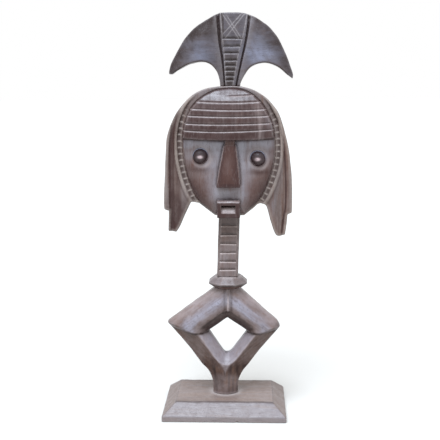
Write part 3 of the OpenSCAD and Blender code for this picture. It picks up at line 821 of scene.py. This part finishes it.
def plinth_paint(x, y, z, n):
    r = np.hypot(x - 1, y)
    halo = np.exp(-((r - 20) / 5.0) ** 2) * (z > 24)
    wig = 0.5 * flat_noise(x, z * 0, (14, 10), 73)
    sy = np.abs(y) - 49.2 + wig
    seam = np.exp(-(sy / np.where(sy > 0, 1.5, 3.2)) ** 2) * (z > 20) * (np.abs(x) < 74)
    seam2 = np.exp(-((np.abs(x) - 73.2 + wig) / 0.8) ** 2) * (z > 22) * (np.abs(y) < 51)
    streak = noise(np.stack([x, y, z], -1), (40, 2.4, 10), 74)
    foot = np.exp(-((z - 8) / 0.9) ** 2)
    mitre = np.exp(-(((np.abs(x) - 93) - (np.abs(y) - 69)) / 1.3) ** 2) * (z > 8) * step(24.6, 23.6, z)
    bevel = (n[:, 2] > 0.3) & (n[:, 2] < 0.92)
    # the blue terms are a painted sheen on the bevels and on the faces that face front and back
    return {"wax_and_highlight": np.clip(0.6 * halo, 0, 1),
            "dark_and_shade": np.clip(seam + 0.5 * seam2 + 0.35 * foot + 0.4 * mitre + 0.14 * bevel, 0, 1),
            "brown_and_shade": np.clip((0.35 + 0.35 * streak) * (n[:, 2] > 0.92) + 0.2 * (z < 7) + 0.3 * bevel * (np.abs(n[:, 0]) > 0.4), 0, 1),
            "painted_sheen": 0.35 * bevel * (np.abs(n[:, 1]) > 0.4) + 0.3 * (np.abs(n[:, 1]) > 0.9)}


# ---------------------------------------------------------------- eyes, turned on a lathe


def button(name, ex, ez, y0, seed):
    """A round eye: flat rim, a ring groove and a domed middle, facing -Y."""
    prof = [[0, 8.9], [2.6, 8.75], [4.4, 8.3], [6.6, 7.4], [8.4, 6.0], [9.6, 4.4], [10.2, 3.2], [10.55, 2.9], [10.9, 3.3], [11.3, 3.6],
            [11.7, 3.3], [11.92, 2.8], [11.97, 2.2], [11.97, 0.2], [11.6, 0.02], [4.1, 0.0], [4.0, -2.8], [3.6, -3.0], [0, -3.0]]
    prof = curve(prof, 3)
    n = 72
    r, h = prof[:, 0], prof[:, 1]
    a = np.arange(n) * 2 * math.pi / n
    inner = slice(1, len(prof) - 1)
    rr, hh = np.clip(r[inner], 0.05, None), h[inner]
    m = len(rr)
    rng = np.random.default_rng(seed)
    wob = 0.22 * np.cos(a * 2 + rng.random() * 6) + 0.16 * np.cos(a * 5 + rng.random() * 6)
    vx = rr[:, None] * np.cos(a) + (rr[:, None] / 12) * wob * np.cos(a)
    vz = rr[:, None] * np.sin(a) + (rr[:, None] / 12) * wob * np.sin(a)
    vx = np.where(np.hypot(vx, vz) > 11.98, vx * 11.98 / np.hypot(vx, vz), vx)
    v = np.stack([ex + vx, y0 - hh[:, None] + 0 * a, ez + vz], -1).reshape(-1, 3)
    tips = np.array([[ex, y0 - h[0], ez], [ex, y0 - h[-1], ez]])
    v = np.concatenate([v, tips])
    i = np.arange(m - 1)[:, None] * n
    j = np.arange(n)[None]
    k = (j + 1) % n
    q = np.stack([i + j, i + k, i + n + k, i + n + j], -1).reshape(-1, 4)
    faces = [list(map(int, f)) for f in q]
    faces += [[int(p), int((p + 1) % n), m * n][::-1] for p in range(n)]
    faces += [[int((m - 1) * n + p), int((m - 1) * n + (p + 1) % n), m * n + 1] for p in range(n)]
    me = bpy.data.meshes.new(name)
    me.from_pydata([tuple(p * 0.001) for p in v], [], faces)
    me.update()
    import bmesh
    bm = bmesh.new()
    bm.from_mesh(me)
    bmesh.ops.recalc_face_normals(bm, faces=bm.faces)
    bm.to_mesh(me)
    bm.free()
    me.polygons.foreach_set("use_smooth", np.ones(len(me.polygons), bool))
    rad = np.hypot(v[:, 0] - ex, v[:, 2] - ez)
    front = v[:, 1] < y0 - 0.6
    ux, uz = v[:, 0] - ex, v[:, 2] - ez
    # cavity darkens the ring groove as painted shade; wax is a painted highlight in the middle of the dome; the lower
    # half is painted darker and browner as shade; blue is a painted sheen on the upper side of the rim
    marks = {
        "cavity": 0.6 * np.exp(-((rad - 10.5) / 0.6) ** 2) * front,
        "edge": 0.0 * rad,
        "wax_and_highlight": np.clip(1.8 * np.exp(-((ux + 0.3) / 3.2) ** 2 - ((uz + 0.9) / 1.9) ** 2), 0, 1) * front,
        "dark_and_shade": np.clip(0.9 * step(11.0, 10.3, rad) + 0.6 * step(4, -8, uz), 0, 1) * front,
        "brown_and_shade": np.clip(0.55 * step(3, -6, uz), 0, 1) * front,
        "painted_sheen": np.clip(step(-6, 8, uz - 0.3 * ux), 0, 1) * step(10.5, 11.1, rad),
    }
    for key, val in marks.items():
        me.attributes.new(key, "FLOAT", "POINT").data.foreach_set("value", np.clip(val, 0, 1).astype(F))
    o = bpy.data.objects.new(name, me)
    bpy.context.scene.collection.objects.link(o)
    return o


# ---------------------------------------------------------------- materials


def srgb(r, g, b):
    return tuple((c / 255 / 12.92 if c <= 10 else ((c / 255 + 0.055) / 1.055) ** 2.4) for c in (r, g, b)) + (1.0,)


class Nodes:
    """Small helper round one material's node tree."""

    def __init__(self, name):
        self.m = bpy.data.materials.new(name)
        self.m.use_nodes = True
        self.t = self.m.node_tree
        self.t.nodes.clear()
        self.out = self.t.nodes.new("ShaderNodeOutputMaterial")
        self.bsdf = self.t.nodes.new("ShaderNodeBsdfPrincipled")
        self.link(self.bsdf.outputs[0], self.out.inputs["Surface"])
        self.pos = self.t.nodes.new("ShaderNodeTexCoord").outputs["Object"]

    def link(self, a, b):
        self.t.links.new(a, b)

    def put(self, socket, v):
        if isinstance(v, bpy.types.NodeSocket):
            self.link(v, socket)
        else:
            socket.default_value = v

    def attr(self, name):
        n = self.t.nodes.new("ShaderNodeAttribute")
        n.attribute_type = "GEOMETRY"
        n.attribute_name = name
        return n.outputs["Fac"]

    def scaled(self, v, s, rot=(0, 0, 0), at=(0, 0, 0)):
        n = self.t.nodes.new("ShaderNodeMapping")
        self.link(v, n.inputs["Vector"])
        n.inputs["Scale"].default_value = s
        n.inputs["Rotation"].default_value = rot
        n.inputs["Location"].default_value = at
        return n.outputs[0]

    def noise(self, v, scale, detail=3.0, rough=0.55, warp=0.0):
        n = self.t.nodes.new("ShaderNodeTexNoise")
        self.link(v, n.inputs["Vector"])
        n.inputs["Scale"].default_value = scale
        n.inputs["Detail"].default_value = detail
        n.inputs["Roughness"].default_value = rough
        n.inputs["Distortion"].default_value = warp
        return n.outputs["Fac"]

    def ramp(self, v, a, b, lo=0.0, hi=1.0):
        n = self.t.nodes.new("ShaderNodeMapRange")
        n.interpolation_type = "SMOOTHSTEP"
        n.clamp = True
        self.put(n.inputs["Value"], v)
        n.inputs["From Min"].default_value = a
        n.inputs["From Max"].default_value = b
        n.inputs["To Min"].default_value = lo
        n.inputs["To Max"].default_value = hi
        return n.outputs["Result"]

    def math(self, op, a, b=0.0, clamp=False):
        n = self.t.nodes.new("ShaderNodeMath")
        n.operation = op
        n.use_clamp = clamp
        self.put(n.inputs[0], a)
        self.put(n.inputs[1], b)
        return n.outputs[0]

    def mix(self, fac, a, b, blend="MIX"):
        n = self.t.nodes.new("ShaderNodeMix")
        n.data_type = "RGBA"
        n.blend_type = blend
        n.clamp_factor = True
        self.put(n.inputs["Factor"], fac)
        self.put(n.inputs[6], a)
        self.put(n.inputs[7], b)
        return n.outputs[2]

    def bump(self, height, strength, dist, normal=None):
        n = self.t.nodes.new("ShaderNodeBump")
        n.inputs["Strength"].default_value = strength
        n.inputs["Distance"].default_value = dist
        self.link(height, n.inputs["Height"])
        if normal is not None:
            self.link(normal, n.inputs["Normal"])
        return n.outputs["Normal"]


def carved_wood(name, base, light, brown, deep, pale, painted_sheen, grain=(1, 1, 0.09), seed=0.0, streak=0.5, patch=0.6, wear=0.25, rough=0.35, lumps=0.4, open_grain=0.5, relief=0.65):
    """Stained and waxed carved wood, with painted sheen, painted highlights and painted shade laid in from the point
    attributes. grain squeezes the pattern along the way the piece's wood runs.
    """
    k = Nodes(name)
    at = (seed * 1.37, seed * 0.71, seed * 2.11)
    run = k.scaled(k.pos, grain, at=at)
    here = k.scaled(k.pos, (1, 1, 1), at=at)
    fine = k.noise(run, 620, 4.0, 0.62, 0.25)
    band = k.noise(run, 150, 3.0, 0.55, 0.6)
    broad = k.noise(here, 26, 3.0, 0.5, 0.4)
    blot = k.noise(here, 75, 4.0, 0.6, 0.3)
    grit = k.noise(here, 1300, 2.0, 0.6)
    wax_and_highlight, dark_and_shade, brown_and_shade, sheen_mask = k.attr("wax_and_highlight"), k.attr("dark_and_shade"), k.attr("brown_and_shade"), k.attr("painted_sheen")
    cav, edge = k.attr("cavity"), k.attr("edge")
    col = k.mix(k.ramp(broad, 0.40, 0.60, 0, patch), base, light)
    # painted sheen: a bluish reflection of the light laid into the colour by the sheen mask, with the brown streaks
    # held back under it
    sheen_amount = k.math("MULTIPLY", sheen_mask, k.ramp(k.noise(run, 60, 3.0, 0.6, 0.5), 0.3, 0.62, 0.55, 1.0), True)
    col = k.mix(sheen_amount, col, painted_sheen)
    brownish = k.math("MULTIPLY", k.ramp(band, 0.48, 0.74), streak)
    brownish = k.math("ADD", brownish, k.math("MULTIPLY", k.ramp(blot, 0.52, 0.72), patch * 0.5), True)
    brownish = k.math("MULTIPLY", brownish, k.ramp(sheen_mask, 0.0, 1.0, 1.0, 0.45))
    col = k.mix(brownish, col, brown)
    # browner where the warm mark is set: partly the wood's own brown, partly painted shade on faces that turn down
    col = k.mix(k.math("MULTIPLY", brown_and_shade, k.ramp(blot, 0.3, 0.7, 0.7, 1.0), True), col, brown)
    # darker where the dark mark is set: partly stains and dark joints, partly painted shade under edges, in cuts and on
    # faces that turn down
    col = k.mix(k.math("MULTIPLY", dark_and_shade, k.ramp(blot, 0.25, 0.7, 0.84, 1.0), True), col, deep)
    # darker stains, the grain's light and dark threads, and short open pores
    stain = k.math("MULTIPLY", k.ramp(k.noise(k.scaled(k.pos, grain, at=(at[1], at[2], at[0])), 48, 4.0, 0.62, 0.8), 0.52, 0.68), patch * 0.42)
    col = k.mix(stain, col, deep)
    col = k.mix(k.math("MULTIPLY", k.ramp(fine, 0.52, 0.74), 0.42), col, deep)
    col = k.mix(k.math("MULTIPLY", k.ramp(fine, 0.46, 0.26), 0.28), col, light)
    pores = k.ramp(k.noise(k.scaled(k.pos, tuple(0.25 if g < 0.5 else 1.0 for g in grain), at=at), 1900, 1.0, 0.5), 0.63, 0.72)
    col = k.mix(k.math("MULTIPLY", pores, open_grain), col, deep)
    # hollows darkened: painted shade in the recesses
    col = k.mix(k.math("MULTIPLY", cav, 0.7), col, deep)
    worn = k.math("MULTIPLY", edge, k.ramp(k.noise(here, 210, 3.0, 0.6), 0.38, 0.62, 0.1, wear), True)
    col = k.mix(worn, col, pale)
    # paler where the wax mark is set: partly real wax and dust in the cuts, partly painted highlight on lips and faces
    # that catch the light
    dust_and_highlight = k.math("MULTIPLY", wax_and_highlight, k.ramp(k.noise(here, 240, 4.0, 0.6), 0.28, 0.52, 0.55, 1.0), True)
    col = k.mix(dust_and_highlight, col, pale)
    k.link(col, k.bsdf.inputs["Base Color"])
    r = k.math("ADD", k.ramp(blot, 0.3, 0.7, rough - 0.06, rough + 0.08), k.math("MULTIPLY", k.ramp(fine, 0.3, 0.7, -0.5, 0.5), 0.08))
    r = k.math("ADD", r, k.math("MULTIPLY", k.math("ADD", cav, wax_and_highlight), 0.14), True)
    k.link(r, k.bsdf.inputs["Roughness"])
    k.bsdf.inputs["IOR"].default_value = 1.46
    k.bsdf.inputs["Metallic"].default_value = 0.0
    h = k.math("ADD", k.math("MULTIPLY", fine, 0.6), k.math("MULTIPLY", band, 0.6))
    h = k.math("SUBTRACT", h, k.math("MULTIPLY", pores, 0.35))
    n = k.bump(h, relief, 0.0004)
    n = k.bump(k.noise(here, 95, 2.0, 0.5, 0.3), lumps, 0.0008, n)
    n = k.bump(grit, 0.2, 0.00010, n)
    k.link(n, k.bsdf.inputs["Normal"])
    return k.m


def plain_wood(name, base, brown, seed):
    k = Nodes(name)
    run = k.scaled(k.pos, (1, 1, 0.1), at=(seed, seed, seed))
    col = k.mix(k.ramp(k.noise(run, 400, 3.0, 0.6, 0.4), 0.35, 0.68), base, brown)
    k.link(col, k.bsdf.inputs["Base Color"])
    k.link(k.ramp(k.noise(k.pos, 300), 0.3, 0.7, 0.5, 0.66), k.bsdf.inputs["Roughness"])
    k.link(k.bump(k.noise(run, 700, 2.0), 0.4, 0.0002), k.bsdf.inputs["Normal"])
    return k.m


def steel(name):
    k = Nodes(name)
    col = k.mix(k.ramp(k.noise(k.pos, 900, 3.0, 0.6), 0.42, 0.62), srgb(148, 145, 140), srgb(112, 100, 90))
    k.link(col, k.bsdf.inputs["Base Color"])
    k.bsdf.inputs["Metallic"].default_value = 1.0
    k.link(k.ramp(k.noise(k.pos, 1400, 2.0), 0.3, 0.7, 0.28, 0.48), k.bsdf.inputs["Roughness"])
    return k.m


def dress(o, mat, *nodes, slot=None):
    o.data.materials.clear()
    o.data.materials.append(mat)
    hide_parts(*nodes)
    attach(o, "root")


BASE = srgb(100, 88, 88)
LIGHT = srgb(118, 108, 110)
BROWN = srgb(94, 62, 47)
DEEP = srgb(34, 19, 17)
PALE = srgb(166, 156, 154)
# bluish colour of the painted sheen on the coiffure
PAINTED_SHEEN_BLUE = srgb(132, 130, 140)

m_crest = carved_wood("crest_wood", srgb(82, 76, 81), srgb(98, 94, 102), srgb(76, 58, 54), DEEP, srgb(146, 140, 142), srgb(122, 126, 146), (0.16, 1, 1), 1.0)
m_board = carved_wood("coiffure_wood", srgb(102, 91, 89), srgb(122, 110, 108), srgb(96, 68, 56), srgb(50, 25, 22), srgb(150, 139, 132), PAINTED_SHEEN_BLUE, (1, 1, 0.07), 2.0, streak=0.7)
m_face = carved_wood("face_wood", srgb(108, 95, 94), srgb(128, 117, 117), srgb(94, 57, 44), srgb(43, 14, 12), srgb(150, 138, 137), srgb(146, 145, 155), (1, 1, 0.12), 3.0, rough=0.33, lumps=0.2, relief=0.2, open_grain=0.3)
# on the eyes the pale colour mostly carries the painted highlight in the middle of each dome
m_eye = carved_wood("eye_wood", srgb(92, 82, 88), srgb(108, 100, 108), BROWN, srgb(38, 18, 20), srgb(182, 164, 166), srgb(150, 156, 178), (1, 1, 0.3), 4.0, wear=0.1, rough=0.44)
m_neck = carved_wood("neck_wood", srgb(98, 83, 79), srgb(118, 104, 100), srgb(92, 68, 58), DEEP, srgb(164, 150, 146), srgb(124, 116, 120), (1, 1, 0.1), 5.0)
m_collar = carved_wood("collar_wood", srgb(92, 81, 80), srgb(108, 98, 98), srgb(88, 60, 52), DEEP, srgb(150, 140, 138), srgb(112, 106, 112), (1, 1, 0.4), 6.0)
m_body = carved_wood("body_wood", srgb(108, 95, 94), srgb(126, 114, 115), srgb(100, 74, 61), srgb(40, 22, 18), srgb(160, 148, 148), srgb(136, 134, 146), (0.4, 1, 0.4), 7.0, wear=0.25, open_grain=0.2)
m_plinth = carved_wood("plinth_wood", srgb(119, 108, 106), srgb(128, 119, 118), srgb(118, 97, 84), srgb(62, 50, 50), srgb(164, 156, 154), srgb(124, 124, 134), (0.1, 1, 1), 8.0, streak=0.4, patch=0.25, wear=0.15, rough=0.46, lumps=0.12)
m_dowel = plain_wood("dowel_wood", srgb(150, 120, 88), srgb(122, 92, 62), 0.3)
m_screw = steel("screw_steel")

# ---------------------------------------------------------------- the pieces

dress(carve("carved_crest", (-82, -10.5, 493), (103, 22.5, 600), (0.75, 0.75, 0.75), crest_field, 0.28, crest_paint), m_crest, "crest", slot="crest_wood")
dress(carve("carved_coiffure", (-92, -11, 269), (103, 22.5, 494.2), (1.0, 1.4, 1.0), board_field, 0.28, board_paint), m_board, "coiffure", slot="coiffure_wood")
dress(carve("carved_face", (-63, -38.5, 301), (77, -7, 492), (0.85, 0.85, 0.85), face_field, 0.26, face_paint), m_face, "face_shield", slot="face_wood")
dress(carve("carved_neck", (-13, -17, 171), (25, 17, 336), (0.65, 0.75, 0.65), neck_field, 0.16, neck_paint), m_neck, "neck", slot="neck_wood")
dress(carve("carved_collar", (-26, -31, 191), (36, 31, 210.3), (0.65, 0.65, 0.65), collar_field, 0.22, collar_paint), m_collar, "collar", slot="collar_wood")
dress(carve("carved_lozenge", (-89, -25, 10.5), (85, 25, 192), (0.95, 0.95, 0.95), body_field, 0.3, body_paint), m_body, "lozenge_body", slot="body_wood")
dress(carve("carved_plinth", (-93, -69, 0), (93, 69, 25), (1.05, 1.05, 0.9), plinth_field, 0.2, plinth_paint, 0), m_plinth, "plinth", slot="plinth_wood")
dress(button("turned_eye_left", -34.5, 392, -14.4, 1), m_eye, "eye_left", slot="eye_wood")
dress(button("turned_eye_right", 50, 388.5, -14.4, 2), m_eye, "eye_right", slot="eye_wood")
for node, mat in (("crest_dowels", m_dowel), ("face_dowels", m_dowel), ("plinth_screws", m_screw)):
    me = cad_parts[node].data
    me.materials.clear()
    me.materials.append(mat)

# ---------------------------------------------------------------- camera, floor and light


def camera(x, y, z, yaw, pitch, roll, lens):
    yaw, pitch, roll = (math.radians(v) for v in (yaw, pitch, roll))
    right = Vector((math.cos(yaw), math.sin(yaw), 0))
    ahead = Vector((-math.sin(yaw), math.cos(yaw), 0))
    up = Vector((0, 0, 1))
    look = ahead * math.cos(pitch) - up * math.sin(pitch)
    top = ahead * math.sin(pitch) + up * math.cos(pitch)
    rx = right * math.cos(roll) + top * math.sin(roll)
    ry = top * math.cos(roll) - right * math.sin(roll)
    data = bpy.data.cameras.new("camera")
    data.lens, data.sensor_width, data.clip_start, data.clip_end = lens, 36, 0.05, 50
    cam = bpy.data.objects.new("camera", data)
    bpy.context.scene.collection.objects.link(cam)
    m = Matrix((rx, ry, -look)).transposed().to_4x4()
    m.translation = Vector((x, y, z)) * 0.001
    cam.matrix_world = m
    bpy.context.scene.camera = cam


def soft_sun(name, towards, strength, spread, colour):
    data = bpy.data.lights.new(name, "SUN")
    data.energy, data.angle, data.color = strength, math.radians(spread), colour
    o = bpy.data.objects.new(name, data)
    bpy.context.scene.collection.objects.link(o)
    o.rotation_euler = (-Vector(towards)).to_track_quat("-Z", "Y").to_euler()


camera(42.41, -1276.2, 493.7, 2.2076, 8.8816, -0.3, 69.93)

floor_mesh = bpy.data.meshes.new("floor")
floor_mesh.from_pydata([(-30, -30, 0), (30, -30, 0), (30, 30, 0), (-30, 30, 0)], [], [(0, 1, 2, 3)])
floor = bpy.data.objects.new("floor", floor_mesh)
bpy.context.scene.collection.objects.link(floor)
k = Nodes("floor_paper")
k.link(k.mix(k.ramp(k.noise(k.pos, 3.0), 0.3, 0.7), srgb(195, 193, 189), srgb(197, 195, 191)), k.bsdf.inputs["Base Color"])
k.bsdf.inputs["Roughness"].default_value = 0.9
k.bsdf.inputs["Specular IOR Level"].default_value = 0.0
floor_mesh.materials.append(k.m)

world = bpy.data.worlds.new("studio")
world.use_nodes = True
world.node_tree.nodes["Background"].inputs["Color"].default_value = (1, 1, 1, 1)
world.node_tree.nodes["Background"].inputs["Strength"].default_value = 1.0
bpy.context.scene.world = world
soft_sun("key", (-0.12, -0.40, 0.91), 4.5, 38, (0.80, 0.89, 1.0))

bpy.context.scene.view_settings.view_transform = "Standard"
bpy.context.scene.view_settings.look = "None"
